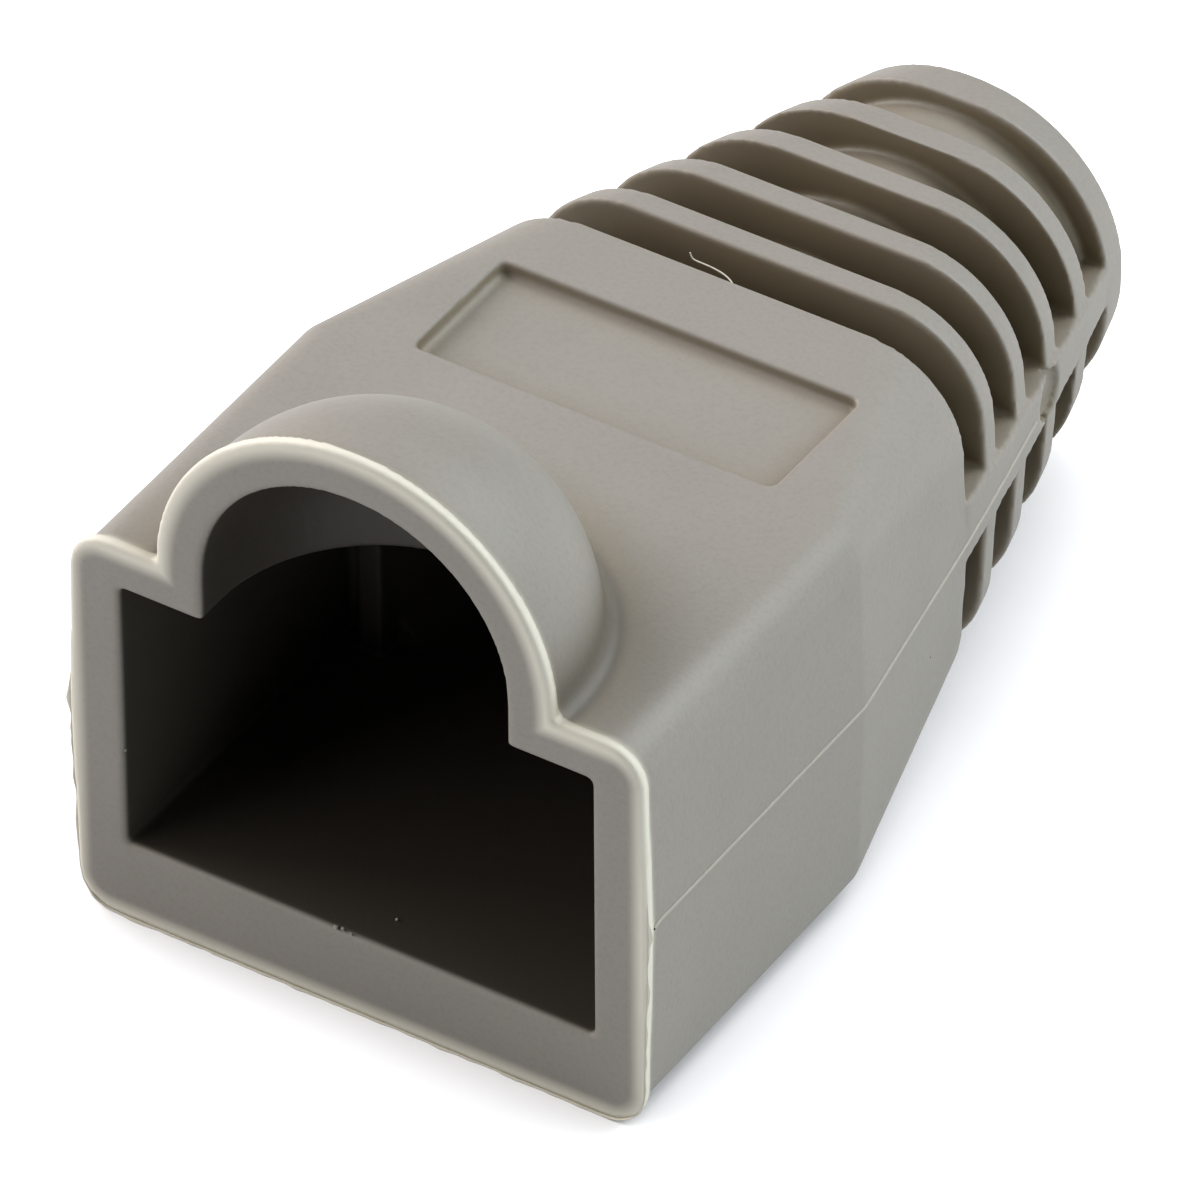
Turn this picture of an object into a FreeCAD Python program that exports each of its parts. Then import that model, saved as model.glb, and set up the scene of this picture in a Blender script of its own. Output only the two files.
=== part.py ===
import FreeCAD, Part
import math
import os
import Sketcher

# Strain relief boot for an 8-position modular plug, moulded in one piece of soft PVC.
# Millimetres. X runs across the mouth, Y from the mouth towards the cable, Z up.
# Sketches measure Y from the mouth; the finished body stands with the middle of its
# underside on the origin.

SIZES = [
    # hollow that takes the plug, and the walls of the box round it
    ("cavity_width", 11.7, "inside width, a snug fit on the plug"),
    ("cavity_height", 6.95, "inside height under the flat roof"),
    ("cavity_depth", 8.7, "mouth to the ledge that stops the plug"),
    ("side_wall", 1.25, "wall on each side, at the parting line"),
    ("roof_wall", 1.0, "wall over the plug"),
    ("floor_wall", 2.1, "wall under the plug, the lip included"),
    ("box_length", 8.7, "mouth to the fold where the shoulder starts"),
    ("box_radius", 0.93, "long edges of the box"),
    ("lip_length", 0.28, "lip round the mouth, along the boot"),
    ("lip_proud", 0.1, "how far the lip stands out of the box"),
    ("parting_height", 5.4, "where the two mould halves meet"),
    ("draft_inset", 0.12, "how far a side leans in between the parting line and an edge"),
    # shoulder that narrows from the box to the ribs
    ("body_length", 14.55, "mouth to the first slot"),
    ("shoulder_width", 12.16, "outside width at the first slot"),
    ("shoulder_drop", 0.1, "how far the top falls by the first slot"),
    ("shoulder_base", 0.6, "height of the underside at the first slot"),
    ("shoulder_radius", 2.35, "rounding of the section at the first slot"),
    # flexible tail
    ("tail_axis", 4.95, "height of the cable's centre line"),
    ("bore_diameter", 5.8, "cable hole"),
    ("sleeve_wall", 0.58, "inner sleeve that joins the ribs"),
    ("collar_rise", 0.33, "how far the collar at the end stands out of the sleeve"),
    ("collar_length", 1.02, "along the boot"),
    ("waist_sag", 0.09, "how far top and underside hang below a straight taper"),
    ("waist_radius", 2.8, "rounding of the section half way along the tail"),
    ("slot_count", 5, "slots along the tail"),
    ("slot_width", 1.26, "gap between two ribs"),
    ("slot_pitch", 1.98, "one rib to the next"),
    ("spine_root", 1.55, "height of the side spines at the first slot"),
    ("spine_tip", 1.0, "height of the side spines at the cable end"),
    ("spine_lift", 0.25, "middle of a spine above the parting line"),
    ("spine_proud", 0.06, "how far a spine stands out of the ribs' sides"),
    # way from the plug to the cable hole
    ("stop_ledge", 1.25, "ledge on each side that stops the plug"),
    ("stop_width", 0.6, "upright rib on the ledge, across the boot"),
    ("stop_depth", 0.7, "how far the rib stands out of the ledge"),
    ("funnel_radius", 1.0, "rounding of the funnel's corners"),
    ("bore_lead", 0.25, "end of the funnel to the first slot"),
    ("bore_ledge", 0.1, "step round the cable hole where the funnel ends"),
    # arch and dome that clear the plug's latch
    ("arch_radius", 4.9, "outside radius"),
    ("arch_wall", 1.12, "wall of the arch and dome"),
    ("arch_setback", 0.8, "mouth to the centre of the dome"),
    ("dome_fillet", 0.4, "rounding where the dome meets the top"),
    # label recess
    ("label_width", 8.95, "across the boot"),
    ("label_offset", 0.1, "how far its middle lies to the right"),
    ("label_length", 3.5, "along the boot"),
    ("label_gap", 0.35, "fold to the near edge"),
    ("label_depth", 0.38, "how far it is sunk"),
    ("label_radius", 0.2, "corner rounding"),
    # gate mark on the right spine
    ("gate_diameter", 1.2, "round mark where the mould was filled"),
    ("gate_depth", 0.3, "how far it is sunk"),
    ("gate_distance", 5.15, "first slot to the middle of the mark"),
]

# Sizes that follow from those above.
ceiling = "(sizes.floor_wall + sizes.cavity_height)"
boxTop = "(%s + sizes.roof_wall)" % ceiling
boxHalf = "(sizes.cavity_width / 2 + sizes.side_wall)"
lipTop = "(%s + sizes.lip_proud)" % boxTop
domeRadius = "(sizes.arch_radius - sizes.lip_proud)"
boreRadius = "(sizes.bore_diameter / 2)"
sleeveRadius = "(%s + sizes.sleeve_wall)" % boreRadius
collarRadius = "(%s + sizes.collar_rise)" % sleeveRadius
tailEnd = ("(sizes.body_length + sizes.slot_pitch * (sizes.slot_count - 1)"
           " + sizes.slot_width + sizes.collar_length)")
tailMiddle = "(sizes.body_length + %s) / 2" % tailEnd
shoulderTop = "(%s - sizes.shoulder_drop)" % boxTop
waistHalf = "(sizes.shoulder_width / 2 + %s) / 2" % collarRadius
waistPart = "(sizes.parting_height + sizes.tail_axis) / 2"
funnelHalf = "(sizes.cavity_width / 2 - sizes.stop_ledge)"

# Share of a round section's radius that its corners take; the rest stays straight.
ROUNDNESS = 0.97
# Two lengths closer than this count as the same, in millimetres.
SAME = 0.001

doc = FreeCAD.newDocument("StrainReliefBoot")
sheet = doc.addObject("Spreadsheet::Sheet", "sizes")
for row, (alias, size, note) in enumerate(SIZES, start=1):
    sheet.set("A%d" % row, alias)
    sheet.set("B%d" % row, str(size))
    sheet.set("C%d" % row, note)
    sheet.setAlias("B%d" % row, alias)
body = doc.addObject("PartDesign::Body", "boot")
body.Label = "boot"
body.setExpression("Placement.Base.y", "-%s / 2" % tailEnd)
doc.recompute()


def value(expression):
    """Number that an expression of the sheet's sizes gives."""
    result = sheet.evalExpression(str(expression))
    return float(getattr(result, "Value", result))


# ---------------------------------------------------------------- sketches

def originFeature(role):
    return next(f for f in body.Origin.OriginFeatures if f.Role == role)


def addSketch(name, role, offset=None, lift=None):
    """Empty sketch on an origin plane: offset along its normal, lift along its own Y."""
    sketch = body.newObject("Sketcher::SketchObject", name)
    sketch.AttachmentSupport = [(originFeature(role), "")]
    sketch.MapMode = "FlatFace"
    if offset:
        sketch.setExpression(".AttachmentOffset.Base.z", offset)
    if lift:
        sketch.setExpression(".AttachmentOffset.Base.y", lift)
    return sketch


def bind(sketch, constraint, name, expression):
    """Add a driving constraint under a name and tie it to the sheet."""
    index = sketch.addConstraint(constraint)
    sketch.renameConstraint(index, name)
    sketch.setExpression("Constraints." + name, expression)


def point(x, y):
    return FreeCAD.Vector(x, y, 0)


def line(x1, y1, x2, y2):
    return Part.LineSegment(point(x1, y1), point(x2, y2))


def arc(x, y, radius, start, sweep=90):
    """Arc about x, y, anticlockwise from a start angle in degrees."""
    circle = Part.Circle(point(x, y), FreeCAD.Vector(0, 0, 1), radius)
    return Part.ArcOfCircle(circle, math.radians(start), math.radians(start + sweep))


def chain(sketch, kind, pairs):
    """Join the end of the first of each pair to the start of the second."""
    for first, second in pairs:
        sketch.addConstraint(Sketcher.Constraint(kind, first, 2, second, 1))


def addSection(name, distance, half, top, base, radius, part, inset="0"):
    """Rounded section across the boot, widest at the parting height.

    Every argument is an expression; the sides lean in by the inset above and below.
    """
    sketch = addSketch(name, "XZ_Plane", offset="-(%s)" % distance)
    w, t, b, r, p, d = (value(e) for e in (half, top, base, radius, part, inset))
    e = w - d
    sketch.addGeometry([
        line(e - r, t, r - e, t), arc(r - e, t - r, r, 90),
        line(-e, t - r, -w, p), line(-w, p, -e, b + r), arc(r - e, b + r, r, 180),
        line(r - e, b, e - r, b), arc(e - r, b + r, r, 270),
        line(e, b + r, w, p), line(w, p, e, t - r), arc(e - r, t - r, r, 0),
    ])
    chain(sketch, "Tangent", ((0, 1), (1, 2), (3, 4), (4, 5), (5, 6), (6, 7), (8, 9), (9, 0)))
    chain(sketch, "Coincident", ((2, 3), (7, 8)))
    sketch.addConstraint([
        Sketcher.Constraint("Symmetric", 0, 1, 0, 2, -2),
        Sketcher.Constraint("Symmetric", 5, 1, 5, 2, -2),
        Sketcher.Constraint("Symmetric", 2, 2, 7, 2, -2),
        Sketcher.Constraint("Equal", 1, 9),
        Sketcher.Constraint("Equal", 4, 6),
        Sketcher.Constraint("Equal", 1, 4),
    ])
    bind(sketch, Sketcher.Constraint("DistanceX", -1, 1, 7, 2, w), "half", half)
    bind(sketch, Sketcher.Constraint("DistanceY", -1, 1, 7, 2, p), "part", part)
    bind(sketch, Sketcher.Constraint("DistanceY", -1, 1, 0, 1, t), "top", top)
    bind(sketch, Sketcher.Constraint("DistanceY", 5, 1, 0, 1, t - b), "height",
         "(%s) - (%s)" % (top, base))
    bind(sketch, Sketcher.Constraint("Radius", 9, r), "radius", radius)
    bind(sketch, Sketcher.Constraint("DistanceX", -1, 1, 8, 2, e), "upperEdge",
         "(%s) - (%s)" % (half, inset))
    bind(sketch, Sketcher.Constraint("DistanceX", -1, 1, 7, 1, e), "lowerEdge",
         "(%s) - (%s)" % (half, inset))
    return sketch


def addRoundSection(name, distance, radius):
    """Section that is round about the cable's centre line, with edges like the others'."""
    return addSection(name, distance, radius, "sizes.tail_axis + " + radius,
                      "sizes.tail_axis - " + radius, "%g * %s" % (ROUNDNESS, radius),
                      "sizes.tail_axis")


def addRectangle(sketch, left, right, bottom, top):
    """Rectangle between four positions, each an expression."""
    x1, x2, y1, y2 = (value(e) for e in (left, right, bottom, top))
    sides = sketch.addGeometry([line(x1, y1, x2, y1), line(x2, y1, x2, y2),
                                line(x2, y2, x1, y2), line(x1, y2, x1, y1)])
    a, b, c, d = sides
    chain(sketch, "Coincident", ((a, b), (b, c), (c, d), (d, a)))
    for side in (a, c):
        sketch.addConstraint(Sketcher.Constraint("Horizontal", side))
    for side in (b, d):
        sketch.addConstraint(Sketcher.Constraint("Vertical", side))
    tag = "r%d" % a
    bind(sketch, Sketcher.Constraint("DistanceX", -1, 1, a, 1, x1), tag + "left", left)
    bind(sketch, Sketcher.Constraint("DistanceX", a, 1, a, 2, x2 - x1), tag + "width",
         "(%s) - (%s)" % (right, left))
    bind(sketch, Sketcher.Constraint("DistanceY", -1, 1, a, 1, y1), tag + "bottom", bottom)
    bind(sketch, Sketcher.Constraint("DistanceY", b, 1, b, 2, y2 - y1), tag + "height",
         "(%s) - (%s)" % (top, bottom))


def addCircle(sketch, x, y, diameter):
    """Circle about a place, all three given as expressions."""
    px, py, d = value(x), value(y), value(diameter)
    circle = sketch.addGeometry(Part.Circle(point(px, py), FreeCAD.Vector(0, 0, 1), d / 2))
    bind(sketch, Sketcher.Constraint("Diameter", circle, d), "diameter", diameter)
    bind(sketch, Sketcher.Constraint("DistanceX", -1, 1, circle, 3, px), "across", x)
    bind(sketch, Sketcher.Constraint("DistanceY", -1, 1, circle, 3, py), "along", y)


def addArch(sketch, radius, foot):
    """Half round over the sketch's origin, with straight legs of length foot."""
    r, k = value(radius), value(foot)
    sketch.addGeometry([arc(0, 0, r, 0, 180), line(-r, 0, -r, -k),
                        line(-r, -k, r, -k), line(r, -k, r, 0)])
    chain(sketch, "Tangent", ((0, 1), (3, 0)))
    chain(sketch, "Coincident", ((1, 2), (2, 3)))
    sketch.addConstraint([Sketcher.Constraint("Coincident", 0, 3, -1, 1),
                          Sketcher.Constraint("Horizontal", 2),
                          Sketcher.Constraint("Vertical", 1)])
    bind(sketch, Sketcher.Constraint("Radius", 0, r), "radius", radius)
    bind(sketch, Sketcher.Constraint("DistanceY", 1, 2, 1, 1, k), "foot", foot)


def addQuarter(sketch, radius, foot):
    """Right half of an arch, closed along the upright axis that it turns about."""
    r, k = value(radius), value(foot)
    sketch.addGeometry([arc(0, 0, r, 0), line(0, r, 0, -k), line(0, -k, r, -k),
                        line(r, -k, r, 0)])
    sketch.addConstraint(Sketcher.Constraint("Tangent", 3, 2, 0, 1))
    chain(sketch, "Coincident", ((0, 1), (1, 2), (2, 3)))
    sketch.addConstraint([Sketcher.Constraint("Coincident", 0, 3, -1, 1),
                          Sketcher.Constraint("PointOnObject", 1, 1, -2),
                          Sketcher.Constraint("PointOnObject", 1, 2, -2),
                          Sketcher.Constraint("Horizontal", 2)])
    bind(sketch, Sketcher.Constraint("Radius", 0, r), "radius", radius)
    bind(sketch, Sketcher.Constraint("DistanceY", 3, 1, 3, 2, k), "foot", foot)


# ---------------------------------------------------------------- features

def volume():
    doc.recompute()
    return body.Shape.Volume


def addLoft(kind, name, sections, ruled):
    loft = body.newObject("PartDesign::" + kind, name)
    loft.Profile = sections[0]
    loft.Sections = sections[1:]
    loft.Ruled = ruled
    return loft


def addPad(name, sketch, length, reverse=False):
    pad = body.newObject("PartDesign::Pad", name)
    pad.Profile = sketch
    pad.setExpression("Length", length)
    pad.Reversed = reverse
    return pad


def addPocket(name, sketch, length, reverse=False):
    """Pocket that goes against the sketch's normal, or along it when reversed."""
    before = volume()
    pocket = body.newObject("PartDesign::Pocket", name)
    pocket.Profile = sketch
    pocket.setExpression("Length", length)
    pocket.Reversed = reverse
    checkCut(name, before)


def addTurn(kind, name, sketch, axisName, degrees):
    """Revolution or Groove about one of the sketch's own axes."""
    before = volume()
    turn = body.newObject("PartDesign::" + kind, name)
    turn.Profile = sketch
    turn.ReferenceAxis = (sketch, [axisName])
    turn.Angle = degrees
    if kind == "Groove":
        checkCut(name, before)
    return turn


def checkCut(name, before):
    if volume() >= before:
        raise RuntimeError(name + " cuts nothing")


def edgeNames(shape, wanted):
    return ["Edge%d" % n for n, edge in enumerate(shape.Edges, start=1) if wanted(edge)]


def addFillet(name, wanted, radius):
    """Round the edges of the present tip that a test accepts."""
    doc.recompute()
    base = body.Tip
    names = edgeNames(base.Shape, wanted)
    if not names:
        raise RuntimeError(name + " finds no edge")
    fillet = body.newObject("PartDesign::Fillet", name)
    fillet.Base = (base, names)
    fillet.setExpression("Radius", radius)
    return fillet


# ---------------------------------------------------------------- the boot

def addBoxSection(name, distance):
    return addSection(name, distance, boxHalf, boxTop, "sizes.lip_proud", "sizes.box_radius",
                      "sizes.parting_height", "sizes.draft_inset")


def buildSkin():
    """Outer form: a box, a shoulder that narrows behind a fold, and a tail that ends round."""
    mouth = addBoxSection("mouthSection", "0")
    fold = addBoxSection("foldSection", "sizes.box_length")
    root = addSection("rootSection", "sizes.body_length", "sizes.shoulder_width / 2",
                      shoulderTop, "sizes.shoulder_base", "sizes.shoulder_radius",
                      "sizes.parting_height", "sizes.draft_inset")
    addLoft("AdditiveLoft", "boxAndShoulder", [mouth, fold, root], True)
    top = "(%s + sizes.tail_axis + %s) / 2 - sizes.waist_sag" % (shoulderTop, collarRadius)
    base = "(sizes.shoulder_base + sizes.tail_axis - %s) / 2 - sizes.waist_sag" % collarRadius
    waist = addSection("waistSection", tailMiddle, waistHalf, top, base,
                       "sizes.waist_radius", waistPart, "sizes.draft_inset")
    end = addRoundSection("endSection", tailEnd, collarRadius)
    addLoft("AdditiveLoft", "tail", [root, waist, end], False)


def buildDome():
    """Half-round arch at the mouth, closed behind by a quarter ball, over the latch."""
    foot = "sizes.roof_wall / 2"
    arch = addSketch("archSketch", "XZ_Plane", lift=boxTop)
    addArch(arch, domeRadius, foot)
    addPad("arch", arch, "sizes.arch_setback", reverse=True)
    quarter = addSketch("domeSketch", "XZ_Plane", offset="-sizes.arch_setback", lift=boxTop)
    addQuarter(quarter, domeRadius, foot)
    addTurn("Revolution", "dome", quarter, "V_Axis", 180)
    addFillet("domeFoot", isDomeFoot, "sizes.dome_fillet")


def isDomeFoot(edge):
    """Tell whether an edge runs on the flat top round the foot of the arch and dome."""
    top, radius, setback = value(boxTop), value(domeRadius), value("sizes.arch_setback")
    first, last = edge.ParameterRange
    for p in (edge.valueAt(first), edge.valueAt((first + last) / 2), edge.valueAt(last)):
        out = math.hypot(p.x, max(p.y - setback, 0))
        if abs(p.z - top) > SAME or abs(out - radius) > SAME:
            return False
    return True


def buildLip():
    """Lip round the mouth, proud of the box and of the arch."""
    lip = addSection("lipSection", "0", boxHalf + " + sizes.lip_proud", lipTop, "0",
                     "sizes.box_radius", "sizes.parting_height", "sizes.draft_inset")
    addPad("lip", lip, "sizes.lip_length", reverse=True)
    arch = addSketch("lipArchSketch", "XZ_Plane", lift=lipTop)
    addArch(arch, "sizes.arch_radius", "sizes.roof_wall / 2")
    addPad("lipArch", arch, "sizes.lip_length", reverse=True)


def buildRibs():
    """Round slots down to the inner sleeve, in a row, bridged by a spine on each side."""
    sketch = addSketch("slotSketch", "YZ_Plane", lift="sizes.tail_axis")
    addRectangle(sketch, "sizes.body_length", "sizes.body_length + sizes.slot_width",
                 sleeveRadius, "sizes.shoulder_width")
    slot = addTurn("Groove", "slot", sketch, "H_Axis", 360)
    row = body.newObject("PartDesign::LinearPattern", "slots")
    row.Originals = [slot]
    row.Direction = (sketch, ["H_Axis"])
    row.setExpression("Length", "sizes.slot_pitch * (sizes.slot_count - 1)")
    row.setExpression("Occurrences", "sizes.slot_count")
    body.Tip = row
    doc.recompute()
    spines = [
        addSpineSection("spineRoot", "sizes.body_length", "sizes.shoulder_width / 2",
                        "sizes.parting_height", "sizes.spine_root"),
        addSpineSection("spineWaist", tailMiddle, waistHalf + " + sizes.spine_proud",
                        waistPart, "(sizes.spine_root + sizes.spine_tip) / 2"),
        addSpineSection("spineTip", tailEnd, collarRadius + " - sizes.spine_proud",
                        "sizes.tail_axis", "sizes.spine_tip"),
    ]
    addLoft("AdditiveLoft", "spines", spines, False)


def addSpineSection(name, distance, half, part, height):
    sketch = addSketch(name, "XZ_Plane", offset="-(%s)" % distance)
    middle = "(%s) + sizes.spine_lift" % part
    addRectangle(sketch, "-(%s)" % half, half, "%s - (%s) / 2" % (middle, height),
                 "%s + (%s) / 2" % (middle, height))
    return sketch


def buildHollow():
    """Cavity for the plug, its stop ribs, a funnel behind them and the cable hole."""
    cavity = addSketch("cavitySketch", "XZ_Plane")
    addRectangle(cavity, "-sizes.cavity_width / 2", "sizes.cavity_width / 2",
                 "sizes.floor_wall", ceiling)
    addPocket("cavity", cavity, "sizes.cavity_depth")
    funnelMouth = addSection("funnelMouth", "sizes.cavity_depth", funnelHalf, ceiling,
                             "sizes.floor_wall", "sizes.funnel_radius", "sizes.tail_axis")
    funnelEnd = addRoundSection("funnelEnd", "sizes.body_length - sizes.bore_lead",
                                "(%s + sizes.bore_ledge)" % boreRadius)
    addLoft("SubtractiveLoft", "funnel", [funnelMouth, funnelEnd], True)
    stops = addSketch("stopSketch", "XZ_Plane", offset="-sizes.cavity_depth")
    outer = funnelHalf + " + sizes.stop_width"
    addRectangle(stops, "-(%s)" % outer, "-" + funnelHalf, "sizes.floor_wall", ceiling)
    addRectangle(stops, funnelHalf, outer, "sizes.floor_wall", ceiling)
    addPad("stops", stops, "sizes.stop_depth")
    bore = addSketch("boreSketch", "XZ_Plane", offset="-" + tailEnd)
    addCircle(bore, "0", "sizes.tail_axis", "sizes.bore_diameter")
    addPocket("bore", bore, tailEnd + " - sizes.body_length + 2 * sizes.bore_lead",
              reverse=True)


def buildLatchRoom():
    """Hollow of the arch and dome, open to the plug cavity below."""
    radius = "sizes.arch_radius - sizes.arch_wall"
    foot = "sizes.roof_wall + sizes.lip_proud + sizes.cavity_height / 2"
    arch = addSketch("latchArchSketch", "XZ_Plane", lift=lipTop)
    addArch(arch, radius, foot)
    addPocket("latchArch", arch, "sizes.arch_setback")
    quarter = addSketch("latchDomeSketch", "XZ_Plane", offset="-sizes.arch_setback",
                        lift=lipTop)
    addQuarter(quarter, radius, foot)
    addTurn("Groove", "latchDome", quarter, "V_Axis", 180)


def buildLabelRecess():
    """Blank recess on the flat top, with rounded corners."""
    sketch = addSketch("labelSketch", "XY_Plane", offset=boxTop)
    near = "sizes.box_length + sizes.label_gap"
    start, width, middle, length, r = (value(e) for e in (
        near, "sizes.label_width", "sizes.label_offset", "sizes.label_length",
        "sizes.label_radius"))
    left, right, end = middle - width / 2, middle + width / 2, start + length
    sketch.addGeometry([
        line(left + r, start, right - r, start), arc(right - r, start + r, r, 270),
        line(right, start + r, right, end - r), arc(right - r, end - r, r, 0),
        line(right - r, end, left + r, end), arc(left + r, end - r, r, 90),
        line(left, end - r, left, start + r), arc(left + r, start + r, r, 180),
    ])
    chain(sketch, "Tangent", [(n, (n + 1) % 8) for n in range(8)])
    sketch.addConstraint([
        Sketcher.Constraint("Horizontal", 0), Sketcher.Constraint("Horizontal", 4),
        Sketcher.Constraint("Vertical", 2), Sketcher.Constraint("Vertical", 6),
        Sketcher.Constraint("Equal", 1, 3), Sketcher.Constraint("Equal", 3, 5),
        Sketcher.Constraint("Equal", 5, 7),
    ])
    bind(sketch, Sketcher.Constraint("Radius", 1, r), "radius", "sizes.label_radius")
    bind(sketch, Sketcher.Constraint("DistanceX", 6, 1, 2, 1, width), "width",
         "sizes.label_width")
    bind(sketch, Sketcher.Constraint("DistanceX", -1, 1, 2, 1, right), "right",
         "sizes.label_offset + sizes.label_width / 2")
    bind(sketch, Sketcher.Constraint("DistanceY", -1, 1, 0, 1, start), "start", near)
    bind(sketch, Sketcher.Constraint("DistanceY", 0, 1, 4, 2, length), "length",
         "sizes.label_length")
    addPocket("label", sketch, "sizes.label_depth")


def buildGateMark():
    """Round mark sunk into the right spine, where the mould was filled."""
    floor = waistHalf + " + sizes.spine_proud - sizes.gate_depth"
    sketch = addSketch("gateSketch", "YZ_Plane", offset=floor)
    addCircle(sketch, "sizes.body_length + sizes.gate_distance",
              waistPart + " + sizes.spine_lift", "sizes.gate_diameter")
    addPocket("gateMark", sketch, "sizes.shoulder_width", reverse=True)


def checkModel():
    """Stop if any object failed or the solid isn't one valid piece."""
    doc.recompute()
    for item in doc.Objects:
        if "Invalid" in item.State or "Error" in item.State:
            raise RuntimeError("%s failed: %s" % (item.Name, item.State))
    shape = body.Shape
    if shape.isNull() or not shape.isValid() or len(shape.Solids) != 1:
        raise RuntimeError("the boot isn't one valid solid")


buildSkin()
buildDome()
buildLip()
buildRibs()
buildHollow()
buildLatchRoom()
buildLabelRecess()
buildGateMark()
checkModel()

os.makedirs("parts", exist_ok=True)
body.Shape.exportStep("parts/boot.step")
box = body.Shape.BoundBox
print("boot: %.2f x %.2f x %.2f mm, %.0f mm3" %
      (box.XLength, box.YLength, box.ZLength, body.Shape.Volume))
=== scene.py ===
import bpy
import math
from mathutils import Matrix, Vector, noise


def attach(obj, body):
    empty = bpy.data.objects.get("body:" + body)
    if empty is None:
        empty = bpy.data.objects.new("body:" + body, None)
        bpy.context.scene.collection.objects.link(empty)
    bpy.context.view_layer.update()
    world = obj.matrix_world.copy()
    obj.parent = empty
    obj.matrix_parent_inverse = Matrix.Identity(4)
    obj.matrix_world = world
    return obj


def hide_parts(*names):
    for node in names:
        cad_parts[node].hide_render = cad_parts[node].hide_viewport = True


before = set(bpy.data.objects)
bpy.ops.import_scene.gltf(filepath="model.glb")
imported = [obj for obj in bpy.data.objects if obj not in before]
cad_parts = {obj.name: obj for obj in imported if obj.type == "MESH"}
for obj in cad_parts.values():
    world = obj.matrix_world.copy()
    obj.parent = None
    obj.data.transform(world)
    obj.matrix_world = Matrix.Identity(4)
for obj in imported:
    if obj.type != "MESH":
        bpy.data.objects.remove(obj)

bpy.context.view_layer.update()
mm = 0.001                          # metres in a millimetre


def lookOnly(thing):
    # selects one object and makes it the active one
    bpy.ops.object.select_all(action='DESELECT')
    thing.select_set(True)
    bpy.context.view_layer.objects.active = thing


def applyModifier(thing, kind, **settings):
    lookOnly(thing)
    modifier = thing.modifiers.new(kind.lower(), kind)
    for name, value in settings.items():
        setattr(modifier, name, value)
    bpy.ops.object.modifier_apply(modifier=modifier.name)


def shrinkToMetres(thing):
    # pieces are made in millimetres, then brought to the frame's metres
    lookOnly(thing)
    thing.scale = (mm, mm, mm)
    bpy.ops.object.transform_apply(location=True, rotation=True, scale=True)


def linear(hexCode):
    # an sRGB hex value as the linear colour that shaders and lamps take
    channels = []
    for at in (0, 2, 4):
        c = int(hexCode[at:at + 2], 16) / 255
        channels.append(c / 12.92 if c <= 0.04045 else ((c + 0.055) / 1.055) ** 2.4)
    return (*channels, 1)


def addNode(tree, kind, settings=None, links=None):
    # one node: its settings or unlinked inputs by name or number, then its linked inputs
    node = tree.nodes.new(kind)
    for name, value in (settings or {}).items():
        if isinstance(name, str) and hasattr(node, name):
            setattr(node, name, value)
        else:
            node.inputs[name].default_value = value
    for name, socket in (links or {}).items():
        tree.links.new(socket, node.inputs[name])
    return node


def newMaterial(name):
    material = bpy.data.materials.new(name)
    material.use_nodes = True
    material.node_tree.nodes.clear()
    return material, material.node_tree


pvcLook = {
    "plain": "9A958F", "cloudy": "918C86",          # the two greys that the skin drifts between
    "speck": "7C7771",                              # fine dark fleck
    "rimHighlight": "E6E2D5",                            # painted highlight along the trimmed edge of the mouth
    "warmShade": "9F8F73",                          # painted warm shade where a wall stands close by
    "deepShade": "322A1B",                             # painted shade that it falls to deep in corners and slots
    "darkShade": "443F38",                           # painted shade inside the cavity and round the dome's foot
    # mm: the specks and the grain are drawn coarser than a mould leaves them, so that they show
    "cloudSize": 3.0, "speckSize": 0.12, "grainSize": 0.11,
    "speckFrom": 0.4, "speckTo": 0.75, "speckShare": 0.22,      # of the noise, and of the colour
    "shadeReach": 2.2,                             # mm, reach of the occlusion behind the painted shade
    "warmShadeFrom": 0.24, "warmShadeTo": 0.54,         # share of the view that near walls close off, where the painted warm shade starts and is full
    "deepShadeFrom": 0.36, "deepShadeTo": 0.7,
    "grainDepth": 0.02, "grainStrength": 0.3,       # mm and share
    "roughness": 0.5, "ior": 1.53,
}


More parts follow.
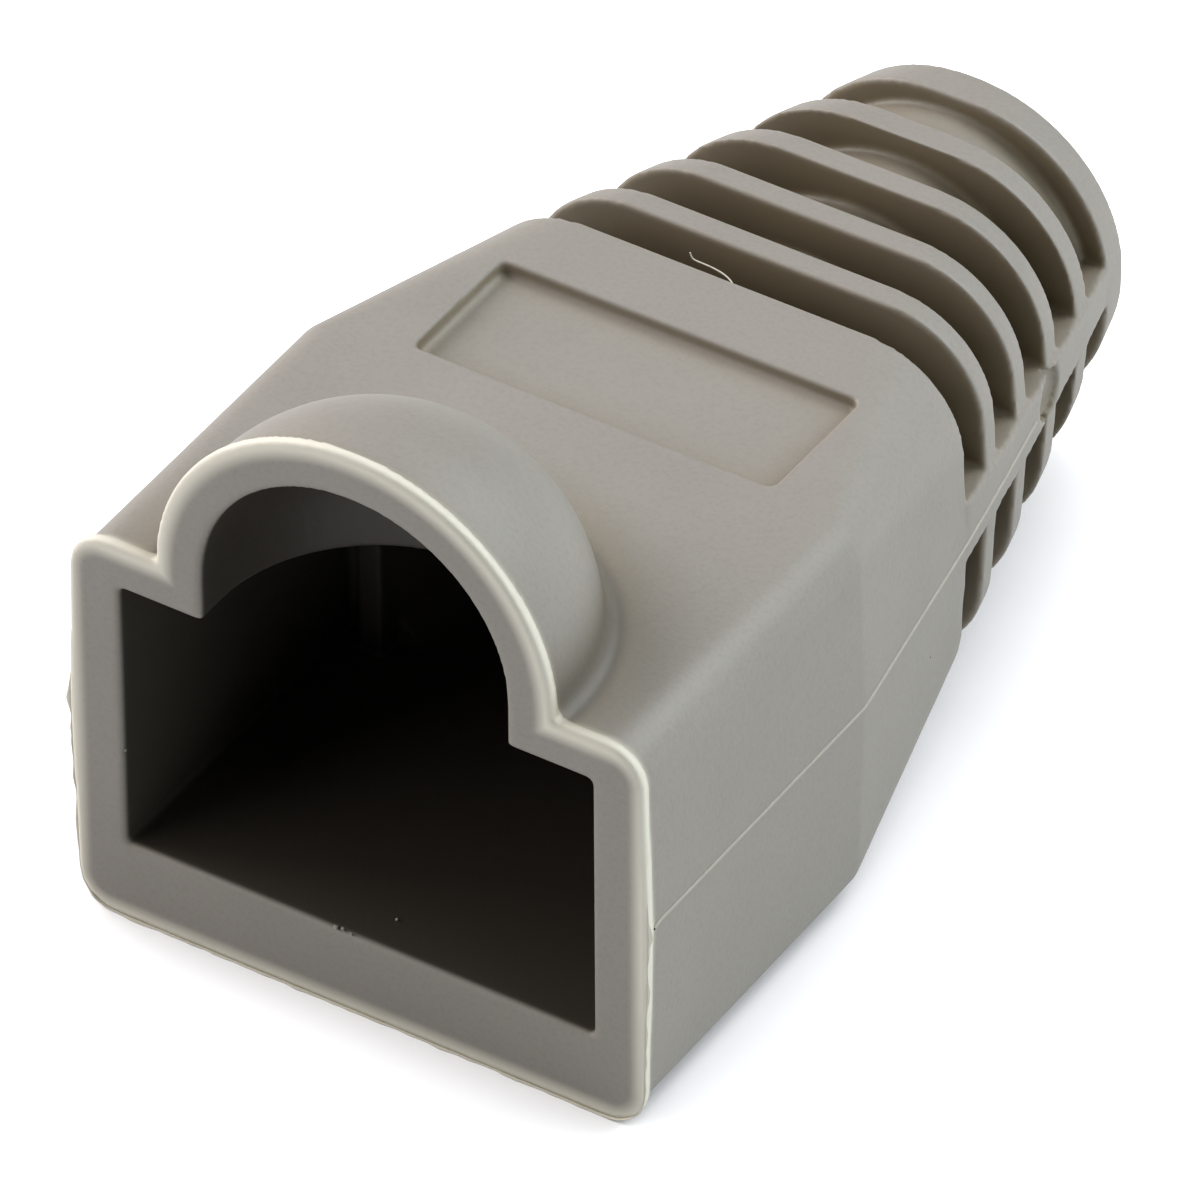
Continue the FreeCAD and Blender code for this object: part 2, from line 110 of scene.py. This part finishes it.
def softPvc():
    # plasticised PVC, injection moulded in a fine-textured steel mould: a dull satin skin,
    # faintly mottled, with painted warm shade where walls stand close, painted dark brown shade deep in
    # the slots, a painted highlight along the trimmed edge of the mouth, and painted dark shade inside the
    # mouth and round the dome's foot
    material, tree = newMaterial("softPvcWarmGrey")

    def blend(factor, before, after):
        # goes from one colour to another: inputs 6 and 7 are the two, and output 2 is the result
        mix = addNode(tree, "ShaderNodeMix", {"data_type": 'RGBA', 7: linear(pvcLook[after])}, {0: factor})
        if isinstance(before, str):
            mix.inputs[6].default_value = linear(pvcLook[before])
        else:
            tree.links.new(before, mix.inputs[6])
        return mix.outputs[2]

    def ramp(socket, low, high, share=1.0):
        spread = addNode(tree, "ShaderNodeMapRange",
                         {"interpolation_type": 'SMOOTHSTEP', "From Min": pvcLook[low],
                          "From Max": pvcLook[high], "To Max": share},
                         {"Value": socket})
        return spread.outputs["Result"]

    place = addNode(tree, "ShaderNodeTexCoord").outputs["Object"]
    cloud = addNode(tree, "ShaderNodeTexNoise",
                    {"Scale": 1 / (pvcLook["cloudSize"] * mm), "Detail": 3, "Roughness": 0.55},
                    {"Vector": place})
    speck = addNode(tree, "ShaderNodeTexNoise",
                    {"Scale": 1 / (pvcLook["speckSize"] * mm), "Detail": 2, "Roughness": 0.6},
                    {"Vector": place})
    rim = addNode(tree, "ShaderNodeAttribute", {"attribute_name": "rimHighlight"})
    insideShade = addNode(tree, "ShaderNodeAttribute", {"attribute_name": "darkShade"})
    domeShade = addNode(tree, "ShaderNodeAttribute", {"attribute_name": "domeFoot"})
    # occlusion near walls, which drives the painted shade in corners and slots
    corner = addNode(tree, "ShaderNodeAmbientOcclusion",
                     {"only_local": True, "samples": 2, "Distance": pvcLook["shadeReach"] * mm})
    closed = addNode(tree, "ShaderNodeMath", {"operation": 'SUBTRACT', 0: 1.0}, {1: corner.outputs["AO"]})
    colour = blend(cloud.outputs["Fac"], "plain", "cloudy")
    colour = blend(ramp(speck.outputs["Fac"], "speckFrom", "speckTo", pvcLook["speckShare"]),
                   colour, "speck")
    # painted highlight along the lip's edge, then painted shade: warm near walls, dark brown deep in
    # corners, dark round the dome's foot and inside the cavity
    colour = blend(rim.outputs["Fac"], colour, "rimHighlight")
    colour = blend(ramp(closed.outputs[0], "warmShadeFrom", "warmShadeTo"), colour, "warmShade")
    colour = blend(ramp(closed.outputs[0], "deepShadeFrom", "deepShadeTo"), colour, "deepShade")
    colour = blend(domeShade.outputs["Fac"], colour, "darkShade")
    colour = blend(insideShade.outputs["Fac"], colour, "darkShade")

    grain = addNode(tree, "ShaderNodeTexNoise", {"Scale": 1 / (pvcLook["grainSize"] * mm), "Detail": 2},
                    {"Vector": place})
    bump = addNode(tree, "ShaderNodeBump",
                   {"Strength": pvcLook["grainStrength"], "Distance": pvcLook["grainDepth"] * mm},
                   {"Height": grain.outputs["Fac"]})
    shader = addNode(tree, "ShaderNodeBsdfPrincipled",
                     {"Roughness": pvcLook["roughness"], "IOR": pvcLook["ior"]},
                     {"Base Color": colour, "Normal": bump.outputs["Normal"]})
    addNode(tree, "ShaderNodeOutputMaterial", links={"Surface": shader.outputs["BSDF"]})
    return material


moulding = {
    "weld": 0.0005,                 # points this close together are one, mm
    "voxel": 0.07,                  # finest form kept, mm
    "soften": 0.5, "passes": 5,     # how far each pass eases an edge, and how many there are
    "faces": 185000,                # triangles kept
    "fineMouth": 0.6,               # depth behind the mouth where no point is dropped, mm
    "fineShade": 0.02,              # painted shade above which no point is dropped
    "mouth": (7.2, 10.15, 0.93),    # the lip's outline: half width, top and corner, mm
    "arch": (10.15, 4.9),           # centre's height and radius of the arch, mm
    "plugRoom": (5.85, 2.1, 9.05, 8.7),         # half width, floor, ceiling and depth, mm
    "latchRoom": (3.78, 0.8),                   # radius, and its middle behind the mouth, mm
    "holeAxis": 4.95,                           # height of the cable's hole, mm
    "rimWidth": 0.32, "rimFade": 0.3,           # painted highlight band along the lip's outer edge, mm
    "insideShadeFrom": 0.048, "insideShadeTo": 0.168,         # where the painted shade inside turns dark behind the mouth, mm
    "coreReach": 0.3,                           # a point this far into a wall is still its inside, mm
    "coreTurn": 0.2,                            # how far a skin faces the hole's axis to be inside
    "holeLap": 0.1,                             # the hole counts from this far inside the room, mm
    "dome": (5.08, 10.05),                      # radius of its foot and height it stands on, mm
    "domeShade": 0.66,                              # painted shade in the corner round it
    "domeShadeWide": 0.17, "domeShadeHigh": 1.3,        # how soon the painted shade thins outwards and upwards, mm
    "domeShadeBack": (3.5, 7.5),                    # where it thins and ends behind the mouth, mm
    "domeShadeEdge": 0.2, "domeShadeSpread": 4,         # the least height under the foot, mm, and widths out
}


def insideLip(x, z):
    # how far a point of the mouth's plane lies inside the lip's outline, mm
    half, top, corner = moulding["mouth"]
    height, radius = moulding["arch"]
    dx = abs(x) - (half - corner)
    dz = abs(z - top / 2) - (top / 2 - corner)
    box = math.hypot(max(dx, 0), max(dz, 0)) + min(max(dx, dz), 0) - corner
    return max(-box, radius - math.hypot(x, z - height))


def insideRoom(x, y, z):
    # how far a point lies inside the walls of the plug's or the latch's room, mm
    half, low, high, depth = moulding["plugRoom"]
    radius, middle = moulding["latchRoom"]
    height = moulding["arch"][0]
    box = min(half - abs(x), z - low, high - z, depth - y)
    ball = radius - math.hypot(x, max(y - middle, 0), z - height)
    return max(box, min(ball, z - high))


def domeShadeAt(x, y, z):
    # painted shade in the corner round the foot of the dome, strongest beside the mouth
    radius, top = moulding["dome"]
    near, far = moulding["domeShadeBack"]
    out = math.hypot(x, max(y - moulding["latchRoom"][1], 0)) - radius
    if z < top - moulding["domeShadeEdge"] or out > moulding["domeShadeSpread"] * moulding["domeShadeWide"]:
        return 0
    back = min(max((far - y) / (far - near), 0), 1)
    return (moulding["domeShade"] * back * math.exp(-(max(out, 0) / moulding["domeShadeWide"]) ** 2)
            * math.exp(-(max(z - top, 0) / moulding["domeShadeHigh"]) ** 2))


def markSkin(piece):
    # marks for the material: the painted highlight along the lip's trimmed edge, the painted shade inside
    # the cavity, and the painted shade in the corner round the dome
    front = min(v.co.y for v in piece.data.vertices)
    rim = piece.data.attributes.new("rimHighlight", 'FLOAT', 'POINT')
    insideShade = piece.data.attributes.new("darkShade", 'FLOAT', 'POINT')
    domeShade = piece.data.attributes.new("domeFoot", 'FLOAT', 'POINT')
    wide, fade = moulding["rimWidth"], moulding["rimFade"]
    start, end = moulding["insideShadeFrom"], moulding["insideShadeTo"]
    high, depth = moulding["plugRoom"][2:]
    axis = moulding["holeAxis"]
    for v in piece.data.vertices:
        x, y, z = v.co.x / mm, (v.co.y - front) / mm, v.co.z / mm
        if y < wide + fade:
            mark = (wide + fade / 2 - max(insideLip(x, z), y)) / fade
            rim.data[v.index].value = min(max(mark, 0), 1)
        facing = -(v.normal.x * x + v.normal.z * (z - axis)) / max(math.hypot(x, z - axis), mm)
        inHole = y > depth - moulding["holeLap"] and z < high and facing > moulding["coreTurn"]
        if inHole or insideRoom(x, y, z) > -moulding["coreReach"]:
            insideShade.data[v.index].value = min(max((y - start) / (end - start), 0), 1)
        elif y > wide:
            domeShade.data[v.index].value = domeShadeAt(x, y, z)


def makeMoulding(skin):
    # the CAD piece, its points merged, with the edges eased as soft plastic leaves the mould
    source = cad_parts["boot"]
    piece = bpy.data.objects.new("mouldedBoot", source.data.copy())
    bpy.context.collection.objects.link(piece)
    lookOnly(piece)
    piece.scale = (1 / mm, 1 / mm, 1 / mm)
    bpy.ops.object.transform_apply(location=True, rotation=True, scale=True)
    bpy.ops.object.mode_set(mode='EDIT')
    bpy.ops.mesh.select_all(action='SELECT')
    bpy.ops.mesh.remove_doubles(threshold=moulding["weld"])
    bpy.ops.object.mode_set(mode='OBJECT')
    applyModifier(piece, 'REMESH', mode='VOXEL', voxel_size=moulding["voxel"], adaptivity=0)
    applyModifier(piece, 'SMOOTH', factor=moulding["soften"], iterations=moulding["passes"])
    front = min(v.co.y for v in piece.data.vertices)
    coarse = piece.vertex_groups.new(name="coarse")
    coarse.add([v.index for v in piece.data.vertices
                if v.co.y > front + moulding["fineMouth"]
                and domeShadeAt(v.co.x, v.co.y - front, v.co.z) < moulding["fineShade"]], 1, 'REPLACE')
    applyModifier(piece, 'DECIMATE', ratio=moulding["faces"] / (2 * len(piece.data.polygons)),
                  vertex_group="coarse")
    lookOnly(piece)
    bpy.ops.object.shade_smooth()
    shrinkToMetres(piece)
    markSkin(piece)
    piece.data.materials.clear()
    piece.data.materials.append(skin)
    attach(piece, "root")
    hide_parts("boot")
    print("moulding done", len(piece.data.polygons))
    return piece


seam = {
    "height": 5.4,                  # where the mould halves met, mm above the floor
    "thick": 0.085,                 # across the bead, mm
    "step": 0.3,                    # between its points, mm
    "from": -12.12, "to": 6.6,      # it stops short of the gate mark
    "highlightShare": 0.22,                  # share of the rim's painted highlight colour
    # the boot's half width at that height at places along it, and how far inside it a skin counts, mm
    "skin": ((-12.375, 7.1), (-3.675, 7.1), (2.175, 6.08), (4.725, 5.58), (7.275, 5.0), (12.375, 3.75)),
    "within": 0.15,
}


def halfWidth(y):
    # half the boot's width at the parting height, at a distance along it, mm
    for (y0, x0), (y1, x1) in zip(seam["skin"], seam["skin"][1:]):
        if y <= y1:
            return x0 + (x1 - x0) * (y - y0) / (y1 - y0)
    return seam["skin"][-1][1]


def copyInMillimetres(piece, name):
    # a twin to cut from, as large in millimetres as the piece is in metres
    twin = bpy.data.objects.new(name, piece.data.copy())
    bpy.context.collection.objects.link(twin)
    lookOnly(twin)
    twin.scale = (1 / mm, 1 / mm, 1 / mm)
    bpy.ops.object.transform_apply(location=True, rotation=True, scale=True)
    return twin


def cutOutline(twin, place, normal, keep, step):
    # leaves only the outline where a plane cuts a mesh, and of that only the points to keep
    lookOnly(twin)
    bpy.ops.object.mode_set(mode='EDIT')
    bpy.ops.mesh.select_all(action='SELECT')
    bpy.ops.mesh.bisect(plane_co=place, plane_no=normal, clear_inner=True, clear_outer=True)
    bpy.ops.mesh.select_all(action='DESELECT')
    bpy.ops.object.mode_set(mode='OBJECT')
    for v in twin.data.vertices:
        v.select = not keep(v.co)
    bpy.ops.object.mode_set(mode='EDIT')
    bpy.ops.mesh.delete(type='VERT')
    bpy.ops.mesh.select_all(action='SELECT')
    bpy.ops.mesh.remove_doubles(threshold=step)
    bpy.ops.object.mode_set(mode='OBJECT')


def finishPiece(piece, skin, highlightShare):
    # brings a piece down to size, marks how much painted highlight it carries and hangs it on the boot
    marks = piece.data.attributes.get("rimHighlight") or piece.data.attributes.new("rimHighlight", 'FLOAT', 'POINT')
    for mark in marks.data:
        mark.value = highlightShare
    shrinkToMetres(piece)
    piece.data.materials.clear()
    piece.data.materials.append(skin)
    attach(piece, "root")


def makeSeam(moulded, skin):
    # witness line of the mould along each side: the outline of a level cut, swept with a bead
    piece = copyInMillimetres(moulded, "partingLine")
    cutOutline(piece, (0, 0, seam["height"]), (0, 0, 1),
               lambda p: seam["from"] < p.y < seam["to"] and abs(p.x) > halfWidth(p.y) - seam["within"],
               seam["step"])
    bpy.ops.object.convert(target='CURVE')
    piece.data.bevel_depth = seam["thick"] / 2
    piece.data.bevel_resolution = 2
    bpy.ops.object.convert(target='MESH')
    bpy.ops.object.shade_smooth()
    finishPiece(piece, skin, seam["highlightShare"])
    print("parting line done", len(piece.data.polygons))


flash = {
    "behind": 0.06,                 # the fin stands this far back from the front, mm
    "top": 6.3,                     # it runs round the lip below this height, mm
    "step": 0.09,                   # between its points, mm
    "within": 0.5,                  # a point this close to the lip's outline is on it, mm
    "least": 0.015, "sill": 0.08, "sides": 0.05,    # how far it stands out, mm
    "sillHeight": 0.3,              # below this it points forwards, mm
    "lean": 0.15,                   # how much the sides point forwards
    "knot": 0.13, "knotReach": 0.35,        # lump where the parting line meets the lip, mm
    "coarse": 1.7, "fine": 5.3, "fineShare": 0.6,       # waves per mm of its ragged edge
    "sillRagged": 0.7, "sideRagged": 1.6,   # how far the waves change it
    "sideShare": 0.5,               # of the sides' reach, where the waves are level
    "fade": 0.6,                    # over which it dies out at its top, mm
    "thick": 0.035,
    "lift": 0.004,                  # clear of the floor, mm
    # share of the rim's painted highlight colour: all of it on the fin
    "highlightShare": 1,
}


def makeFlash(moulded, skin):
    # thin fin squeezed out between the mould and its core round the lip, trimmed unevenly
    piece = copyInMillimetres(moulded, "trimmedFlash")
    front = min(v.co.y for v in piece.data.vertices)
    cutOutline(piece, (0, front + flash["behind"], 0), (0, 1, 0),
               lambda p: p.z < flash["top"] and insideLip(p.x, p.z) < flash["within"], flash["step"])
    root = len(piece.data.vertices)
    bpy.ops.object.mode_set(mode='EDIT')
    bpy.ops.mesh.select_all(action='SELECT')
    bpy.ops.mesh.extrude_region_move()
    bpy.ops.object.mode_set(mode='OBJECT')
    for v in piece.data.vertices[root:]:
        ragged = (noise.noise(v.co * flash["coarse"])
                  + flash["fineShare"] * noise.noise(v.co * flash["fine"]))
        fade = min(max((flash["top"] - v.co.z) / flash["fade"], 0), 1)
        if v.co.z < flash["sillHeight"]:
            out = Vector((0, -1, 0))
            reach = flash["sill"] * (1 + flash["sillRagged"] * ragged)
        else:
            out = Vector((math.copysign(1, v.co.x), -flash["lean"], 0))
            knot = flash["knot"] * max(0, 1 - abs(v.co.z - seam["height"]) / flash["knotReach"])
            reach = flash["sides"] * max(0, flash["sideShare"] + flash["sideRagged"] * ragged) + knot
        v.co += out * (flash["least"] + reach) * fade
    applyModifier(piece, 'SOLIDIFY', thickness=flash["thick"], offset=0)
    applyModifier(piece, 'SUBSURF', levels=1, render_levels=1)
    for v in piece.data.vertices:
        v.co.z = max(v.co.z, flash["lift"])
    lookOnly(piece)
    bpy.ops.object.mode_set(mode='EDIT')
    bpy.ops.mesh.select_all(action='SELECT')
    bpy.ops.mesh.normals_make_consistent(inside=False)
    bpy.ops.object.mode_set(mode='OBJECT')
    bpy.ops.object.shade_smooth()
    finishPiece(piece, skin, flash["highlightShare"])
    print("flash done", len(piece.data.polygons))


thread = {
    "points": ((-1.03, 2.37, 10.12), (-1.0, 2.38, 10.0), (-0.95, 2.4, 9.93), (-0.75, 2.38, 9.95),
               (-0.4, 2.37, 9.94), (-0.1, 2.33, 9.91), (0.12, 2.24, 9.86), (0.26, 2.15, 9.8)),    # mm
    "thick": 0.035,
    # share of the rim's painted highlight colour
    "highlightShare": 0.8,
}


def makeThread(skin):
    # wisp of plastic pulled across the first slot as the mould opened
    curve = bpy.data.curves.new("pulledThread", 'CURVE')
    curve.dimensions = '3D'
    spline = curve.splines.new('NURBS')
    spline.points.add(len(thread["points"]) - 1)
    for point, place in zip(spline.points, thread["points"]):
        point.co = (*place, 1)
    spline.order_u = 3
    spline.use_endpoint_u = True
    curve.bevel_depth = thread["thick"] / 2
    curve.bevel_resolution = 2
    curve.use_fill_caps = True
    piece = bpy.data.objects.new("pulledThread", curve)
    bpy.context.collection.objects.link(piece)
    lookOnly(piece)
    bpy.ops.object.convert(target='MESH')
    bpy.ops.object.shade_smooth()
    finishPiece(piece, skin, thread["highlightShare"])
    print("thread done", len(piece.data.polygons))


burrs = {
    "places": ((-0.58, -12.32, 2.12), (-0.42, -12.3, 2.13), (-0.2, -12.33, 2.11), (0.38, -11.45, 2.12),
               (-5.83, -12.3, 4.6), (6.62, -0.22, 4.13)),                    # mm
    "across": (0.1, 0.07, 0.06, 0.07, 0.06, 0.05),
    "rough": 0.45, "waves": 45,     # share of the radius, and lumps per mm
    # share of the rim's painted highlight colour
    "highlightShare": 0.25,
}


def makeBurrs(skin):
    # crumbs left by trimming: a rough grain at each place, no two the same, joined
    bpy.ops.object.select_all(action='DESELECT')
    grains = []
    for place, across in zip(burrs["places"], burrs["across"]):
        bpy.ops.mesh.primitive_ico_sphere_add(subdivisions=3, radius=across / 2, location=place)
        grain = bpy.context.object
        for v in grain.data.vertices:
            v.co *= 1 + burrs["rough"] * noise.noise(v.co * burrs["waves"] + Vector(place))
        grains.append(grain)
    lookOnly(grains[0])
    for grain in grains:
        grain.select_set(True)
    bpy.ops.object.join()
    piece = bpy.context.object
    piece.name = "trimmingCrumbs"
    bpy.ops.object.transform_apply(location=True, rotation=True, scale=True)
    bpy.ops.object.shade_smooth()
    finishPiece(piece, skin, burrs["highlightShare"])
    print("crumbs done", len(piece.data.polygons))


studio = {
    "floorSize": 2.0,               # m
    "floorColour": "E6E6E8",        # what the object sees of it
    "floorShade": "EBEAEF",         # what the camera sees of it, before the glow
    "floorGlow": 0.8,               # white added for the camera, so that the floor reads as white
    "contactReach": 6,              # mm over which the floor darkens beside the object, a painted contact shadow
    "openFrom": 0.34, "openTo": 0.86,          # openness of the floor where the glow starts and is full
    "sky": 0.02,                    # what the object gets from all round
    "lampDistance": 0.35, "lampSize": 0.3, "lampAim": 0.005,        # m, the last above the floor
    # azimuth from +X towards +Y and height in degrees, watts, colour
    "lamps": {
        "leftLamp": (180, 25, 1.32, "FFFBF7"),
        "leftFrontLamp": (225, 30, 0.39, "FFFBF7"),
        "rearLamp": (90, 60, 0.40, "FFFFFF"),
        "rearRightLamp": (50, 40, 0.9, "F9FFFF"),
        "rightLamp": (0, 15, 0.42, "F4FFFD"),
    },
}


def makeFloor():
    # white sweep: it lights the object as pale card does; the camera sees it blown out to white,
    # with the lamps' soft shadows and a painted contact shadow, darker where the object closes it off
    material, tree = newMaterial("whiteCardSweep")
    path = addNode(tree, "ShaderNodeLightPath")
    # painted contact shadow: the glow dims where the object closes off the floor's view
    contactShadow = addNode(tree, "ShaderNodeAmbientOcclusion",
                    {"samples": 4, "Distance": studio["contactReach"] * mm})
    glow = addNode(tree, "ShaderNodeMapRange",
                   {"From Min": studio["openFrom"], "From Max": studio["openTo"],
                    "To Min": 0.0, "To Max": studio["floorGlow"]}, {"Value": contactShadow.outputs["AO"]})
    card = addNode(tree, "ShaderNodeBsdfDiffuse", {"Color": linear(studio["floorColour"])})
    shade = addNode(tree, "ShaderNodeBsdfDiffuse", {"Color": linear(studio["floorShade"])})
    light = addNode(tree, "ShaderNodeEmission", {"Color": (1, 1, 1, 1)},
                    {"Strength": glow.outputs["Result"]})
    both = addNode(tree, "ShaderNodeAddShader", links={0: shade.outputs[0], 1: light.outputs[0]})
    pick = addNode(tree, "ShaderNodeMixShader",
                   links={0: path.outputs["Is Camera Ray"], 1: card.outputs[0], 2: both.outputs[0]})
    addNode(tree, "ShaderNodeOutputMaterial", links={"Surface": pick.outputs[0]})
    bpy.ops.mesh.primitive_plane_add(size=studio["floorSize"], location=(0, 0, 0))
    floor = bpy.context.object
    floor.name = "floor"
    floor.data.materials.append(material)


def makeLamp(name, azimuth, height, power, colour):
    # a round soft light that faces the middle of the object
    a, h = math.radians(azimuth), math.radians(height)
    middle = Vector((0, 0, studio["lampAim"]))
    away = Vector((math.cos(h) * math.cos(a), math.cos(h) * math.sin(a), math.sin(h)))
    light = bpy.data.lights.new(name, 'AREA')
    light.shape = 'DISK'
    light.energy = power
    light.color = linear(colour)[:3]
    light.size = studio["lampSize"]
    lamp = bpy.data.objects.new(name, light)
    lamp.location = middle + away * studio["lampDistance"]
    lamp.rotation_euler = (-away).to_track_quat('-Z', 'Y').to_euler()
    bpy.context.collection.objects.link(lamp)


def makeWorld():
    # white behind everything for the camera, next to nothing for the object
    world = bpy.data.worlds.new("studio")
    world.use_nodes = True
    tree = world.node_tree
    tree.nodes.clear()
    path = addNode(tree, "ShaderNodeLightPath")
    dim = addNode(tree, "ShaderNodeBackground", {"Color": (1, 1, 1, 1), "Strength": studio["sky"]})
    white = addNode(tree, "ShaderNodeBackground", {"Color": (1, 1, 1, 1), "Strength": 1})
    mix = addNode(tree, "ShaderNodeMixShader",
                  links={0: path.outputs["Is Camera Ray"], 1: dim.outputs[0], 2: white.outputs[0]})
    addNode(tree, "ShaderNodeOutputWorld", links={"Surface": mix.outputs[0]})
    bpy.context.scene.world = world


camera = {
    "azimuth": 32.625, "elevation": 39.553, "roll": -0.355,    # degrees
    "aim": (0, -0.291, 5.5385),                                # mm
    "distance": 333.54, "across": 1.381, "above": 2.076,       # mm back, to the left and down from it
    "lens": 469.3, "sensor": 36, "nearest": 0.01,              # mm, mm and m
}


def makeCamera():
    # looks down at the mouth from the right, through a long lens
    a, e, r = (math.radians(camera[n]) for n in ("azimuth", "elevation", "roll"))
    back = Vector((math.sin(a) * math.cos(e), -math.cos(a) * math.cos(e), math.sin(e)))
    right = Vector((math.cos(a), math.sin(a), 0))
    up = back.cross(right)
    right, up = math.cos(r) * right + math.sin(r) * up, math.cos(r) * up - math.sin(r) * right
    place = Vector(camera["aim"]) - right * camera["across"] - up * camera["above"]
    place += back * camera["distance"]
    data = bpy.data.cameras.new("camera")
    data.lens = camera["lens"]
    data.sensor_width = camera["sensor"]
    data.clip_start = camera["nearest"]
    eye = bpy.data.objects.new("camera", data)
    eye.location = place * mm
    eye.rotation_euler = Matrix((right, up, back)).transposed().to_euler()
    bpy.context.collection.objects.link(eye)
    bpy.context.scene.camera = eye


skin = softPvc()
moulded = makeMoulding(skin)
makeSeam(moulded, skin)
makeFlash(moulded, skin)
makeThread(skin)
makeBurrs(skin)
makeFloor()
for lampName, settings in studio["lamps"].items():
    makeLamp(lampName, *settings)
makeWorld()
makeCamera()
bpy.context.scene.view_settings.view_transform = 'Standard'
print("floor, lamps and camera done", len(bpy.data.lights))
